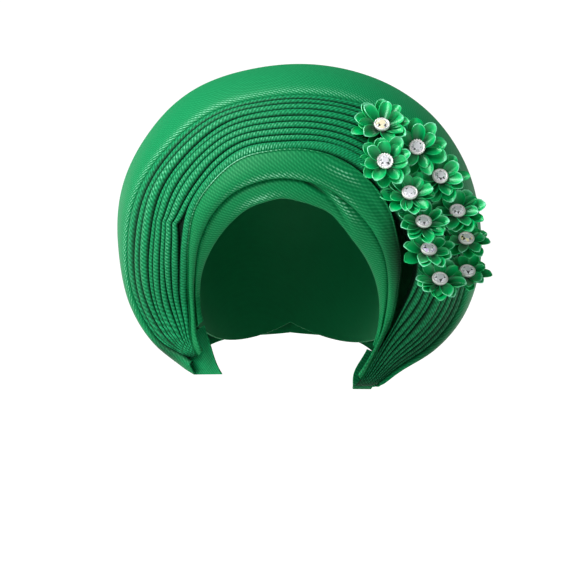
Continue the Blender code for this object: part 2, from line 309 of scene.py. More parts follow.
def linear(code):
    """An sRGB hex colour as linear red, green, blue and alpha."""
    c = np.array([int(code[k:k + 2], 16) / 255 for k in (0, 2, 4)])
    c = np.where(c <= 0.04045, c / 12.92, ((c + 0.055) / 1.055) ** 2.4)
    return (*c.tolist(), 1.0)


def put(tree, kind, sockets, **settings):
    """Adds a node with its settings, and gives each named input its value or its link."""
    node = tree.nodes.new(kind)
    for key, value in settings.items():
        setattr(node, key, value)
    for key, value in sockets.items():
        if isinstance(value, bpy.types.NodeSocket):
            tree.links.new(value, node.inputs[key])
        else:
            node.inputs[key].default_value = value
    return node


def started(name, values):
    """A new material whose shader takes the given values. Returns the material, its tree and its shader."""
    material = bpy.data.materials.new(name)
    material.use_nodes = True
    shader = material.node_tree.nodes["Principled BSDF"]
    for key, value in values.items():
        shader.inputs[key].default_value = value
    return material, material.node_tree, shader


def strip_cloth(name, along, across, slant, dots, relief, green=STRIP_GREEN, deep=STRIP_DEEP, shine=0.42):
    """Hand-woven strip cloth with a shiny weft: ribs, and shorter floats that cross them.

    The ribs are a sine of the thread millimetres across plus `slant` times those along, over the
    pitch `across`. The floats are a sine of the millimetres along over `along`, half a turn further
    on each rib. `dots` is how far the floats break up the ribs, `relief` their height in mm, and
    `shine` the roughness of their tops; at DULL their painted glint is gone.
    Where the painted shade and light is below 0.6 the cloth takes a painted shadow, above 1 its
    floats take a painted glint, and above 2 it is one painted bright line."""
    material, tree, shader = started(name, {
        "Specular IOR Level": 0.16, "Sheen Weight": 0.04, "Sheen Roughness": 0.35,
        "Sheen Tint": linear("7fe8b4")})
    uv = put(tree, "ShaderNodeUVMap", {}, uv_map="thread_mm").outputs[0]
    parts = put(tree, "ShaderNodeSeparateXYZ", {0: uv})
    u, v = parts.outputs[0], parts.outputs[1]
    wander = put(tree, "ShaderNodeTexNoise", {"Vector": uv, "Scale": 0.11, "Detail": 2.0}).outputs["Fac"]
    lean = put(tree, "ShaderNodeMath", {0: u, 1: slant, 2: v}, operation="MULTIPLY_ADD").outputs[0]
    turns = put(tree, "ShaderNodeMath", {0: lean, 1: 2 * np.pi / across}, operation="MULTIPLY").outputs[0]
    turns = put(tree, "ShaderNodeMath", {0: wander, 1: 2.0, 2: turns}, operation="MULTIPLY_ADD").outputs[0]
    rib = put(tree, "ShaderNodeMath", {0: turns}, operation="SINE").outputs[0]
    steps = put(tree, "ShaderNodeMath", {0: u, 1: 2 * np.pi / along}, operation="MULTIPLY").outputs[0]
    half = put(tree, "ShaderNodeMath", {0: turns, 1: 0.5, 2: steps}, operation="MULTIPLY_ADD").outputs[0]
    pick = put(tree, "ShaderNodeMath", {0: half}, operation="SINE").outputs[0]
    both = put(tree, "ShaderNodeMath", {0: pick, 1: dots, 2: rib}, operation="MULTIPLY_ADD").outputs[0]
    height = put(tree, "ShaderNodeMapRange",
                 {"Value": both, "From Min": -1.0 - dots, "From Max": 1.0 + dots}).outputs[0]
    slub = put(tree, "ShaderNodeTexNoise", {"Vector": uv, "Scale": 0.5, "Detail": 3.0}).outputs["Fac"]
    tone = put(tree, "ShaderNodeMath", {0: slub, 1: 0.4, 2: height}, operation="MULTIPLY_ADD").outputs[0]
    tone = put(tree, "ShaderNodeMapRange", {"Value": tone, "From Min": 0.3, "From Max": 1.1}).outputs[0]
    yarn = put(tree, "ShaderNodeMix",
               {"Factor": tone, "A": linear(deep), "B": linear(green)}, data_type="RGBA").outputs["Result"]
    # Painted light: glints and one bright line mixed towards the highlight colour, and shade towards the
    # shadow colour.
    painted_shade_and_light = put(tree, "ShaderNodeAttribute", {}, attribute_name="painted_shade_and_light").outputs["Fac"]
    glint = put(tree, "ShaderNodeMapRange", {"Value": tone, "From Min": 0.6, "From Max": 0.95}).outputs[0]
    base_glint = BASE_GLINT * (DULL - shine)
    bright = put(tree, "ShaderNodeMapRange",
                 {"Value": painted_shade_and_light, "From Min": 1.0, "From Max": 2.0, "To Min": base_glint}).outputs[0]
    glint = put(tree, "ShaderNodeMath", {0: glint, 1: bright}, operation="MULTIPLY").outputs[0]
    painted_edge_line = put(tree, "ShaderNodeMapRange", {"Value": painted_shade_and_light, "From Min": 1.7, "From Max": 2.6}).outputs[0]
    glint = put(tree, "ShaderNodeMath", {0: glint, 1: painted_edge_line}, operation="MAXIMUM").outputs[0]
    yarn = put(tree, "ShaderNodeMix",
               {"Factor": glint, "A": yarn, "B": linear(STRIP_PAINTED_HIGHLIGHT)}, data_type="RGBA").outputs["Result"]
    shade = put(tree, "ShaderNodeMapRange", {"Value": painted_shade_and_light, "From Min": 0.0, "From Max": 0.6}).outputs[0]
    final = put(tree, "ShaderNodeMix",
                {"Factor": shade, "A": linear(STRIP_SHADOW), "B": yarn}, data_type="RGBA").outputs["Result"]
    tree.links.new(final, shader.inputs["Base Color"])
    rough = put(tree, "ShaderNodeMapRange", {"Value": height, "To Min": 0.68, "To Max": shine}).outputs[0]
    tree.links.new(rough, shader.inputs["Roughness"])
    bump = put(tree, "ShaderNodeBump", {"Height": height, "Distance": relief * MM, "Strength": 1.0})
    tree.links.new(bump.outputs[0], shader.inputs["Normal"])
    return material


# Strip cloth of cotton and a shiny synthetic weft: matt green ribs, glossier and with painted dots
# of light where they roll over.
ribbed_cloth = strip_cloth("ribbed strip cloth", along=FLOAT_PITCH, across=RIB_PITCH, slant=0.0,
                           dots=0.45, relief=0.09)

angles = np.linspace(-130, 140, 241)
share, stand = fold(angles, LOWER_FOLD, 0 * angles, spoke(LOWER_END, angles), LOWER_COLUMNS)
within = np.clip(angles, LOWER_CREASE[0, 0], LOWER_CREASE[-1, 0])
centre = through(LOWER_CREASE[:, 0], LOWER_CREASE[:, 1], within)[:, None]
depth = through(LOWER_CREASE[:, 0], LOWER_CREASE[:, 2], within)[:, None]
part = share / spoke(LOWER_END, angles)[:, None]
# The crease sinks in along its line, and the cloth beside it puffs up towards the upper band.
sunk = depth * np.exp(-((part - centre) / 0.10) ** 2)
puffed = 0.6 * depth * np.exp(-((part - centre - 0.26) / 0.16) ** 2)
near_front = (np.arange(LOWER_COLUMNS) > LOWER_ROLL_COLUMNS)[None, :]
stand = stand + near_front * (puffed - sunk)
band = front(angles, share)
band[..., 1] -= stand
over = hood(band[:, -1], angles, np.linspace(0, 1, CAP_STEPS + 1)[1:], grow=1.0, pace=2.5, back=0.18)
cap = np.concatenate([band, over], axis=1)
# Painted shade and light on the lower band: darker where it lies low and along the crease, with painted
# glints on its roll; the cloth over the head stays even.
painted_shade_and_light = np.ones(cap.shape[:2])
painted_shade_and_light[:, :LOWER_COLUMNS] = np.clip(0.55 + 0.25 * stand, 0.0, 1.0) * (1 - 0.22 * near_front * sunk)
painted_shade_and_light[:, :LOWER_COLUMNS] += near_front * painted_glints(angles, part, LOWER_GLINTS)
way = wall_way(cap, seam=True)
head_cloth = cloth("head_cap_cloth", cap, cap - CAP_WALL * way, strip_threads(cap), painted_shade_and_light, seam=True)
# The back of the cloth is dull and nearly even: a darker green with hardly a rib.
cloth_back = strip_cloth("back of the strip cloth", along=7.0, across=5.0, slant=0.0, dots=0.5,
                         relief=0.01, green="006b3b", deep="00693a", shine=DULL)
head_cloth.data.materials.append(ribbed_cloth)
head_cloth.data.materials.append(cloth_back)
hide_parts("head_cap")
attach(head_cloth, "root")

# Upper band: a second length of the same cloth, folded flat and stitched on in front of the cap.
# Its lower edge is a soft roll and its top edge is pressed to a thin ridge like piping, with a
# painted highlight along it.
# Rows as in LOWER_FOLD.
UPPER_FOLD = np.array([
    (0.16, 0.0, 1.9), (0.04, 0.0, 2.0), (-0.04, 0.0, 2.5), (-0.07, 0.0, 3.7), (-0.04, 0.0, 5.0),
    (0.05, 0.0, 6.0), (0.22, 0.0, 6.6), (0.45, 0.0, 6.2), (0.70, 0.0, 5.0), (0.88, 0.0, 3.7),
    (0.93, 0.0, 3.6), (0.965, 0.0, 4.4), (0.99, 0.0, 3.9), (1.00, 0.0, 2.2), (0.99, 0.0, 0.2),
])
UPPER_COLUMNS = 66
UPPER_ROLL_COLUMNS = 24
BAND_WALL = 1.0
# A long shallow dent that runs down the band on the right: angle, share of the width, depth in mm.
UPPER_DENT = np.array([
    (20, 0.30, 0.0), (32, 0.36, 0.9), (46, 0.46, 1.5), (60, 0.55, 1.4), (76, 0.60, 0.8), (92, 0.62, 0.0),
])
# Painted highlights on the upper band, in the columns of LOWER_GLINTS; the first paints the bright line
# along the piping.
UPPER_GLINTS = [
    (-40, 0.97, 45, 0.03, 1.6), (-16, 0.04, 32, 0.09, 0.8), (38, 0.62, 12, 0.16, 0.7),
    (48, 0.05, 14, 0.06, 0.5),
]
# The ends of a fold are rolled back over this many degrees.
END_ROLL = 4.0
# How far the two gathers draw the cloth's ends: from angle, to angle, then millimetres to the right
# and up for the innermost pleat and for the outermost. The band's ends follow the innermost pleat.
GATHERS = [(-124.0, -139.0, -1.0, -1.5, -1.0, 4.0), (130.0, 150.0, -5.3, -7.5, 1.2, -1.0)]


def drawn(grid, angles, across):
    """Points of the front moved by the two gathers, the more the nearer they are to the pleats' ends."""
    grid = grid.copy()
    side = np.clip(across, 0.0, 1.0)
    for first, last, inner_x, inner_z, outer_x, outer_z in GATHERS:
        t = np.clip((angles - first) / (last - first), 0.0, 1.0)[:, None]
        pull = t ** 2 * (3 - 2 * t)
        grid[..., 0] += pull * (inner_x + side * (outer_x - inner_x))
        grid[..., 2] += pull * (inner_z + side * (outer_z - inner_z))
    return grid


def open_ends(angles):
    """One in the middle of a piece, falling to nothing at its two ends over END_ROLL degrees."""
    return np.clip(np.minimum(angles - angles[0], angles[-1] - angles) / END_ROLL, 0.0, 1.0)[:, None]


angles = np.linspace(-139.5, 148.0, 271)
inner_edge, outer_edge = spoke(LOWER_END, angles), spoke(UPPER_END, angles)
share, stand = fold(angles, UPPER_FOLD, inner_edge, outer_edge, UPPER_COLUMNS)
within = np.clip(angles, UPPER_DENT[0, 0], UPPER_DENT[-1, 0])
centre = through(UPPER_DENT[:, 0], UPPER_DENT[:, 1], within)[:, None]
depth = through(UPPER_DENT[:, 0], UPPER_DENT[:, 2], within)[:, None]
part = (share - inner_edge[:, None]) / (outer_edge - inner_edge)[:, None]
near_front = (np.arange(UPPER_COLUMNS) > UPPER_ROLL_COLUMNS)[None, :]
stand = stand - depth * np.exp(-((part - centre) / 0.16) ** 2) * near_front
band = drawn(front(angles, share), angles, 0 * share)
ends = open_ends(angles)
band[..., 1] += 4.0 * (1 - ends) ** 2 - stand
# On the right the band lies in the shade of the flowers, the deeper the further out.
shade = 0.95 * np.exp(-((angles[:, None] - 98) / 27) ** 2) * (0.6 + 0.4 * np.clip(part, 0, 1))
# The band is painted darker where it lies low and in that shade, and takes painted glints.
painted_shade_and_light = np.clip(0.2 * (stand - 0.5), 0.0, 1.0) * (1 - shade) + painted_glints(angles, part, UPPER_GLINTS)
way = wall_way(band, seam=False)
band_cloth = cloth("upper_band_cloth", band, band - BAND_WALL * way, strip_threads(band), painted_shade_and_light)
band_cloth.data.materials.append(ribbed_cloth)
band_cloth.data.materials.append(cloth_back)
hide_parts("upper_band")
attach(band_cloth, "root")

# Pleated fan: the same cloth pressed into nine narrow rope-like pleats, stitched side by side and
# drawn together at a gather on each side. The fourth pleat from the outside is darker.
# One row for each angle: where the valleys between the nine pleats lie, as shares across the fan.
VALLEYS = np.array([
    (-139, 0.120, 0.235, 0.350, 0.460, 0.570, 0.680, 0.790, 0.900),
    (-120, 0.165, 0.288, 0.382, 0.519, 0.630, 0.700, 0.795, 0.920),
    (-100, 0.147, 0.271, 0.385, 0.468, 0.582, 0.660, 0.794, 0.895),
    (-80, 0.158, 0.260, 0.374, 0.456, 0.561, 0.637, 0.777, 0.874),
    (-60, 0.158, 0.249, 0.391, 0.478, 0.600, 0.664, 0.805, 0.891),
    (-40, 0.173, 0.276, 0.402, 0.496, 0.609, 0.684, 0.812, 0.906),
    (-20, 0.194, 0.302, 0.415, 0.526, 0.632, 0.727, 0.836, 0.925),
    (0, 0.163, 0.276, 0.393, 0.510, 0.611, 0.733, 0.837, 0.922),
    (20, 0.189, 0.288, 0.396, 0.499, 0.613, 0.730, 0.834, 0.914),
    (60, 0.180, 0.290, 0.400, 0.500, 0.610, 0.720, 0.820, 0.910),
    (100, 0.120, 0.230, 0.350, 0.460, 0.590, 0.700, 0.800, 0.900),
    (120, 0.060, 0.205, 0.348, 0.437, 0.606, 0.696, 0.800, 0.900),
    (130, 0.050, 0.148, 0.300, 0.420, 0.568, 0.679, 0.778, 0.896),
    (150, 0.080, 0.190, 0.300, 0.420, 0.550, 0.670, 0.780, 0.890),
])
# How far the fan stands back from the upper band: it touches it, but for a deep hollow on the right.
# FAN_SEAM is the share of the way left free where they touch.
FAN_HOLLOW = np.array([
    (-139, 1.0), (-125, 0.6), (-110, 0.0), (50, 0.0), (68, 0.15), (84, 1.0), (118, 1.0), (150, 1.0),
])
FAN_SEAM = 0.004
# On the left the second pleat is bent out to a point, and leaves a dark pocket beside the first: the
# angle of the point, degrees over which it dies away below and above, share of the fan's width.
KINK_ANGLE = -79.0
KINK_BELOW = 9.0
KINK_ABOVE = 4.0
KINK_SHIFT = 0.09
# Painted highlights on the pleats, in the columns of LOWER_GLINTS.
PLEAT_GLINTS = [
    (-20, 0.06, 12, 0.04, 0.8), (-4, 0.27, 14, 0.04, 0.4), (-12, 0.40, 18, 0.04, 0.3),
    (-62, 0.75, 26, 0.05, 0.3), (-82, 0.33, 24, 0.05, 0.25), (-40, 0.5, 60, 0.6, 0.22),
]
# A pleat stands up by a share of its width, up to a limit, from a floor sunk below the front. The
# edge of the fan sinks in over GATHER_LENGTH degrees from each gather.
PLEATS = 9
PLEAT_SHARE = 0.56
PLEAT_MOST = 5.6
FAN_SINK = 2.0
FAN_WALL = 1.2
PLEAT_STEPS = 14
GATHER_LENGTH = 25
angles = np.linspace(-139, 150, 381)
hollow = through(FAN_HOLLOW[:, 0], FAN_HOLLOW[:, 1], angles)
band_end = spoke(UPPER_END, angles)
start = (band_end + FAN_SEAM + hollow * (spoke(FAN_START, angles) - band_end))[:, None]
end = spoke(FAN_END, angles)[:, None]
valleys = np.stack([through(VALLEYS[:, 0], VALLEYS[:, k], angles) for k in range(1, PLEATS)], axis=1)
valleys = np.concatenate([0 * start, valleys, 0 * start + 1], axis=1)
local = 0.5 - 0.5 * np.cos(np.pi * np.arange(PLEAT_STEPS) / PLEAT_STEPS)
local = np.append(np.tile(local, PLEATS), 1.0)
ridge = np.append(np.repeat(np.arange(PLEATS), PLEAT_STEPS), PLEATS - 1)
across = valleys[:, ridge] + local[None, :] * (valleys[:, ridge + 1] - valleys[:, ridge])
kink_length = np.where(angles < KINK_ANGLE, KINK_BELOW, KINK_ABOVE)
kink = KINK_SHIFT * np.exp(-np.abs(angles - KINK_ANGLE) / kink_length)[:, None]
rope = ridge + local
across = across + kink * np.where(ridge >= 1, np.interp(rope, [1, 6], [1.0, 0.0]), 0.0)
span = (RIM_RADIUS * spoke(RIM, angles) - FACE_RADIUS * spoke(EDGE, angles))[:, None] * (end - start)
width = (valleys[:, ridge + 1] - valleys[:, ridge]) * span
sway = np.sin(np.radians(angles)[:, None] * (3.1 + 0.7 * ridge[None, :]) + 1.9 * ridge[None, :])
most = np.minimum(PLEAT_SHARE * width, PLEAT_MOST) * (1 + 0.06 * sway)
round_top = np.sqrt(np.clip(1 - np.abs(2 * local - 1) ** 2.3, 0.0, 1.0))[None, :]
base = front(angles, start + across * (end - start))
way = outward(base)
ends = (np.clip((angles - angles[0]) / GATHER_LENGTH, 0.25, 1)
        * np.clip((angles[-1] - angles) / GATHER_LENGTH, 0.25, 1))
close = open_ends(angles)
height = most * round_top * np.sqrt(1 - (1 - close) ** 2) - FAN_SINK
height[:, 0] -= 6.0 * (ends - 0.25)
height[:, -1] -= 5.0
base[..., 1] += 5.0 * (1 - close) ** 2
fan = drawn(base + way * height[..., None], angles, across)
floor_of_fan = drawn(base - way * (FAN_SINK + FAN_WALL), angles, across)
# Painted shade in the valleys and at both ends, darker on the two outer pleats and the right gather;
# the fourth pleat from the outside is darker too. Painted glints go on the tops.
painted_shade_and_light = round_top ** 3.0 * (0.25 + 0.75 * close)
painted_shade_and_light[:, ridge >= 7] *= 0.62
painted_shade_and_light[:, ridge == 5] *= 0.8
painted_shade_and_light *= 1 - 0.5 * np.clip((angles - 92) / 26, 0.0, 1.0)[:, None]
painted_shade_and_light += painted_glints(angles, across, PLEAT_GLINTS) * (painted_shade_and_light > 0.55)
pleat_cloth = cloth("pleat_cloth", fan, floor_of_fan, laid_threads(fan), painted_shade_and_light)
# On the pleats the floats run aslant like the strands of a rope, and are drawn two to three times
# too coarse.
rope_cloth = strip_cloth("pleated strip cloth", along=2.4, across=4.4, slant=-1.65, dots=0.45,
                         relief=0.13, green="00a062", deep="006c3c")
pleat_cloth.data.materials.append(rope_cloth)
pleat_cloth.data.materials.append(cloth_back)
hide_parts("pleated_fan")
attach(pleat_cloth, "root")

# Outer crown: the wide smooth band outside the pleats. It turns back over the rim, closes behind in
# a few soft folds and is seamed down the middle of the back. Same cloth, woven finer.
# Rows as in LOWER_FOLD.
CROWN_FOLD = np.array([
    (0.16, 0.0, -3.4), (0.05, 0.0, -3.2), (0.00, 0.0, -2.2), (-0.02, 0.0, -0.8), (0.00, 0.0, 0.7),
    (0.05, 0.0, 1.7), (0.16, 0.0, 2.5), (0.34, 0.0, 3.0), (0.55, 0.0, 2.9), (0.75, 0.0, 2.5),
    (0.90, 0.0, 2.1), (1.00, 0.0, 1.6),
])
CROWN_COLUMNS = 52
CROWN_ROLL_COLUMNS = 14
CROWN_STEPS = 70
CROWN_WALL = 1.2
CROWN_TUCK = 6.0
# Painted highlights on the crown's inner roll, in the columns of LOWER_GLINTS.
CROWN_GLINTS = [(-40, 0.03, 38, 0.06, 0.7), (-95, 0.08, 26, 0.10, 0.5), (14, 0.04, 20, 0.09, 0.4)]
# Where the rim is pulled out or in by hand: angle, millimetres further out.
RIM_PULL = np.array([
    (-142, -1.2), (-120, -2.3), (-100, -3.0), (-85, -1.5), (-70, -0.8), (-55, 0.6), (-40, 2.0), (-20, 1.5),
    (0, 1.6), (20, 2.4), (35, 3.3), (50, 3.0), (62, 1.5), (75, 0.0), (95, 0.0), (110, -0.8), (130, -1.6),
    (151, -1.7),
])
# The columns on either side of the rim that are rounded off, and how often.
RIM_SOFT = slice(30, 80)
RIM_SOFTER = 8
BACK_FOLDS = 7
BACK_FOLD_DEPTH = 1.8


def soften(grid, times):
    """Rounds a bend: each inner point moves half way to the mean of its two neighbours, `times` times."""
    for _ in range(times):
        grid[:, 1:-1] = 0.5 * grid[:, 1:-1] + 0.25 * (grid[:, :-2] + grid[:, 2:])
    return grid


angles = np.linspace(-143.0, 149.9, 241)
inner_edge = spoke(FAN_END, angles)
share, stand = fold(angles, CROWN_FOLD, inner_edge, 1 + 0 * angles, CROWN_COLUMNS)
part = (share - inner_edge[:, None]) / (1 - inner_edge[:, None])
ends = open_ends(angles)
stand = stand * (0.45 + 0.55 * ends)
even = np.linspace(0, 1, CROWN_COLUMNS)[None, :] * (1 - inner_edge[:, None]) + inner_edge[:, None]
band = front(angles, share) + outward(front(angles, even)) * stand[..., None]
# At the gathers its inner edge follows the outermost pleat, rolls back and is tucked under itself.
moved = drawn(band, angles, 1 + 0 * part)
band += (moved - band) * np.clip(1 - part, 0.0, 1.0)[..., None]
band[..., 1] += np.where(angles < 0, 2.5, 5.0)[:, None] * (1 - ends) ** 2
tuck = CROWN_TUCK * np.sign(angles)[:, None] * (1 - ends) ** 2 * np.clip(1 - part, 0.0, 1.0)
band[..., 0] -= tuck * np.cos(np.radians(angles))[:, None]
band[..., 2] += tuck * np.sin(np.radians(angles))[:, None]
pull = through(RIM_PULL[:, 0], RIM_PULL[:, 1], angles)[:, None] * np.clip(part, 0.0, 1.0)
band[..., 0] += pull * np.sin(np.radians(angles))[:, None]
band[..., 2] += pull * np.cos(np.radians(angles))[:, None]
steps = np.linspace(0, 1, CROWN_STEPS + 1)[1:]
over = hood(band[:, -1], angles, steps, grow=1.15, pace=1.0, back=0.75)
crown = np.concatenate([band, over], axis=1)
crown[:, RIM_SOFT] = soften(crown[:, RIM_SOFT].copy(), RIM_SOFTER)
way = wall_way(crown, seam=True)
ripple = np.sin(np.radians(angles)[:, None] * BACK_FOLDS) * np.sin(np.pi * steps)[None, :] ** 2
crown[:, CROWN_COLUMNS:] += way[:, CROWN_COLUMNS:] * (BACK_FOLD_DEPTH * ripple)[..., None]
painted_shade_and_light = np.ones(crown.shape[:2])
near_front = np.arange(CROWN_COLUMNS) > CROWN_ROLL_COLUMNS
# Painted shade where the roll lies low and where the cloth turns over the rim, and painted glints on the
# roll.
painted_shade_and_light[:, :CROWN_COLUMNS] = np.clip(0.5 + 0.3 * stand, 0.0, 1.0)
painted_shade_and_light[:, :CROWN_COLUMNS] += near_front * painted_glints(angles, part, CROWN_GLINTS)
painted_shade_and_light[:, CROWN_COLUMNS - 2:CROWN_COLUMNS + 4] *= 0.8
# The cloth is in shade beside both gathers.
shade = np.exp(-((angles + 130) / 13) ** 2) + 0.95 * np.exp(-((angles - 123) / 22) ** 2)
painted_shade_and_light *= 1 - 0.75 * shade[:, None]
way = wall_way(crown, seam=True)
crown_cloth = cloth("outer_crown_cloth", crown, crown - CROWN_WALL * way, laid_threads(crown), painted_shade_and_light,
                    seam=True)
# The fine weave too is drawn at twice its real pitch.
fine_cloth = strip_cloth("fine strip cloth", along=2.4, across=2.5, slant=0.6, dots=0.45,
                         relief=0.05, green="059a5a", deep="007a45")
crown_cloth.data.materials.append(fine_cloth)
crown_cloth.data.materials.append(cloth_back)
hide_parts("outer_crown")
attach(crown_cloth, "root")

# Tabs: the flat hemmed ends of the same cloth, stitched behind the two gathers and hanging free.
# Rows down each tab, for its edge by the opening and then for its outer edge: the angle, the share
# of the way to the rim, and how far behind the front it lies in units of TAB_DEPTH.
TAB_DEPTH = 10.0
TAB_WALL = 1.4
LEFT_TAB = np.array([
    (-151.5, 0.28, 1.40, -142.6, 0.99, 0.48),
    (-141.5, 0.07, 1.00, -134.8, 0.80, 0.80),
    (-131.9, 0.02, 0.80, -130.3, 0.47, 1.05),
])
RIGHT_TAB = np.array([
    (143.0, -0.07, 1.25, 139.5, 0.44, 1.31),
    (152.9, -0.02, 1.90, 145.0, 0.67, 1.25),
    (156.3, 0.62, 1.80, 150.5, 1.02, 0.95),
])
TAB_ROWS = 41
TAB_COLUMNS = 31
# Each tab's table, the end of it that hangs lowest, and its brightness: the right one is in shade.
TABS = {"left_tab": (LEFT_TAB, 0, 1.0), "right_tab": (RIGHT_TAB, 1, 0.4)}


def tab_edge(rows):
    """One long edge of a tab: points of the front at the rows' angles and shares, set back by TAB_DEPTH."""
    return front(rows[:, 0], rows[:, 1:2])[:, 0] + np.outer(rows[:, 2], [0, TAB_DEPTH, 0])


tab_cloths = {}
for name, (table, low_end, brightness) in TABS.items():
    down = np.linspace(0, 2, TAB_ROWS)
    rows = np.stack([through(np.arange(3.0), table[:, k], down) for k in range(6)], axis=1)
    t = np.linspace(0, 1, TAB_COLUMNS)[None, :, None]
    tab = tab_edge(rows[:, :3])[:, None] * (1 - t) + tab_edge(rows[:, 3:])[:, None] * t
    way = outward(tab)
    bottom = np.linspace(1 - low_end, low_end, TAB_ROWS)
    # Painted shade: a dark line along the fold of the hem, and the right tab darker all over.
    painted_tab_shade = 1 - 0.55 * np.exp(-((bottom - 0.88) / 0.025) ** 2)[:, None] + 0 * t[..., 0]
    painted_tab_shade = painted_tab_shade * brightness
    tab_cloths[name] = cloth(f"{name}_cloth", tab, tab - TAB_WALL * way, strip_threads(tab), painted_tab_shade)
    tab_cloths[name].data.materials.append(fine_cloth)
    tab_cloths[name].data.materials.append(cloth_back)
    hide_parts(name)
    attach(tab_cloths[name], "root")

# Flowers: each is sixteen petals of folded satin ribbon in two loose layers, pinched to a
# stem that is glued to the pleats. The petals are cupped and their folded rims stand up, with a
# painted highlight along them.
# One row for each flower: angle, share of the way to the rim, lift as a share of FLOWER_RADIUS,
# tilt upwards in degrees, radius as a share of FLOWER_RADIUS, turn of its petals in degrees.
FLOWER_RADIUS = 16.0
FLOWER_ASIDE = 0.06
FLOWERS = np.array([
    (37.4, 0.636, 0.44, 36, 1.00, 5),
    (52.2, 0.678, 0.52, 18, 1.00, 14),
    (48.4, 0.454, 0.46, 20, 0.92, 22),
    (65.3, 0.691, 0.58, 24, 0.94, 9),
    (66.6, 0.455, 0.52, 32, 0.92, 31),
    (78.5, 0.711, 0.72, 38, 0.94, 17),
    (80.2, 0.462, 0.68, 40, 0.90, 2),
    (87.9, 0.745, 0.76, 42, 0.80, 26),
    (91.2, 0.451, 0.84, 44, 0.90, 12),
    (98.2, 0.749, 0.86, 43, 0.80, 35),
    (101.8, 0.530, 0.88, 40, 0.90, 20),
])
# A petal in outline: share of its length, half width as a share of its greatest.
PETAL_OUTLINE = np.array([
    (0.0, 0.26), (0.2, 0.54), (0.42, 0.86), (0.62, 1.0), (0.80, 0.94), (0.92, 0.64), (1.0, 0.14),
])
PETAL_ROWS = 13
PETAL_COLUMNS = 11
PETAL_POINTS = PETAL_ROWS * PETAL_COLUMNS
# The two layers: petals, reach and half width as shares of FLOWER_RADIUS, rise at the base and curl
# at the tip in degrees, depth of the cup as a share of the half width, height of its foot in mm,
# and how much more the upper petals rise than the side ones in degrees.
LAYERS = np.array([
    (9, 1.34, 0.35, 8, 10, 0.40, -0.8, 4),
    (7, 1.12, 0.32, 17, 6, 0.42, 0.2, 8),
])
SATIN_WALL = 0.5
# The steepest that a petal stands, in degrees: at the side, and how much more at the top of a flower
# and less at its foot, where a petal would hide the stone.
STEEPEST = 37
STEEPER = 21
# The stem that the petals are pinched to: sides, and radii at its foot, below the petals and at the stone.
STEM_SIDES = 16
STEM_RADII = (4.6, 3.6, 3.0)


def petals(layer, size, turn, dice):
    """All petals of one layer in the flower's own frame: right, up and out along its face, in mm.

    A petal runs out from the stem at an angle that grows from the rise to the rise and curl, and
    those below the stone stay low. Its sides stand up by the cup times the square of how far out
    they are, and its rim by a small lip."""
    count, reach, half, rise, curl, cup, foot, more = layer
    count = int(count)
    p = np.linspace(0, 1, PETAL_ROWS)[None, :, None]
    q = np.linspace(-1, 1, PETAL_COLUMNS)[None, None, :]
    vary = dice.uniform(-1, 1, (6, count, 1, 1))
    step = FLOWER_RADIUS * size * reach * (1 + 0.12 * vary[0]) / (PETAL_ROWS - 1)
    theta = np.radians(turn + 7 * vary[5]) + np.arange(count)[:, None, None] * 2 * np.pi / count
    steep = rise + more * np.sin(theta) + 7 * vary[1] + (curl + 10 * vary[2]) * p
    steep = np.radians(np.minimum(steep, STEEPEST + STEEPER * np.sin(theta)))
    out = 1.5 + np.cumsum(np.cos(steep) * step, axis=1) - step
    lift = foot + np.cumsum(np.sin(steep) * step, axis=1)
    wide = FLOWER_RADIUS * size * half * (1 + 0.10 * vary[3])
    wide = wide * np.interp(p, PETAL_OUTLINE[:, 0], PETAL_OUTLINE[:, 1])
    side = wide * q
    lip = 0.5 * np.clip((np.abs(q) - 0.72) / 0.28, 0, 1) ** 2
    bowl = cup * wide * q ** 2 + lip * np.sin(np.pi * p) ** 0.5 + 0.3 * side * vary[4]
    out = out - np.sin(steep) * bowl
    lift = lift + np.cos(steep) * bowl + 0 * q
    x = out * np.cos(theta) - side * np.sin(theta)
    z = out * np.sin(theta) + side * np.cos(theta)
    # The tone is painted shade and light: dark at the stem, lighter towards the tip, with a painted
    # highlight on the rim and a little random change from petal to petal.
    rim = np.clip((np.maximum(np.abs(q) + 0 * p, p ** 3 + 0 * q) - 0.80) / 0.20, 0, 1)
    tone = 0.06 + 0.74 * p ** 1.1 + (0.09 + 0.17 * vary[1]) * rim + 0.08 * vary[4]
    return np.stack([x, z, lift], axis=-1), tone


# Polyester satin ribbon, heat-sealed at its edges: deep green painted shade in the cups, broad
# highlights along the threads, thin pale painted highlights on the rims.
satin, tree, shader = started("satin ribbon", {
    "Specular IOR Level": 0.9, "Specular Tint": linear("b8ffd8"), "Anisotropic": 0.4})
painted_shade_and_light_value = put(tree, "ShaderNodeAttribute", {}, attribute_name="painted_shade_and_light").outputs["Fac"]
ramp = put(tree, "ShaderNodeValToRGB", {0: painted_shade_and_light_value})
ramp.color_ramp.elements[0].position = 0.2
ramp.color_ramp.elements[0].color = linear("002d15")
ramp.color_ramp.elements[1].position = 0.72
ramp.color_ramp.elements[1].color = linear("00ce70")
painted_rim_highlight = ramp.color_ramp.elements.new(0.97)
painted_rim_highlight.color = linear("96ffd0")
place = put(tree, "ShaderNodeTexCoord", {}).outputs["Object"]
grain = put(tree, "ShaderNodeTexNoise", {"Vector": place, "Scale": 900.0}).outputs["Fac"]
rough = put(tree, "ShaderNodeMapRange", {"Value": grain, "To Min": 0.25, "To Max": 0.36}).outputs[0]
tree.links.new(ramp.outputs[0], shader.inputs["Base Color"])
tree.links.new(rough, shader.inputs["Roughness"])

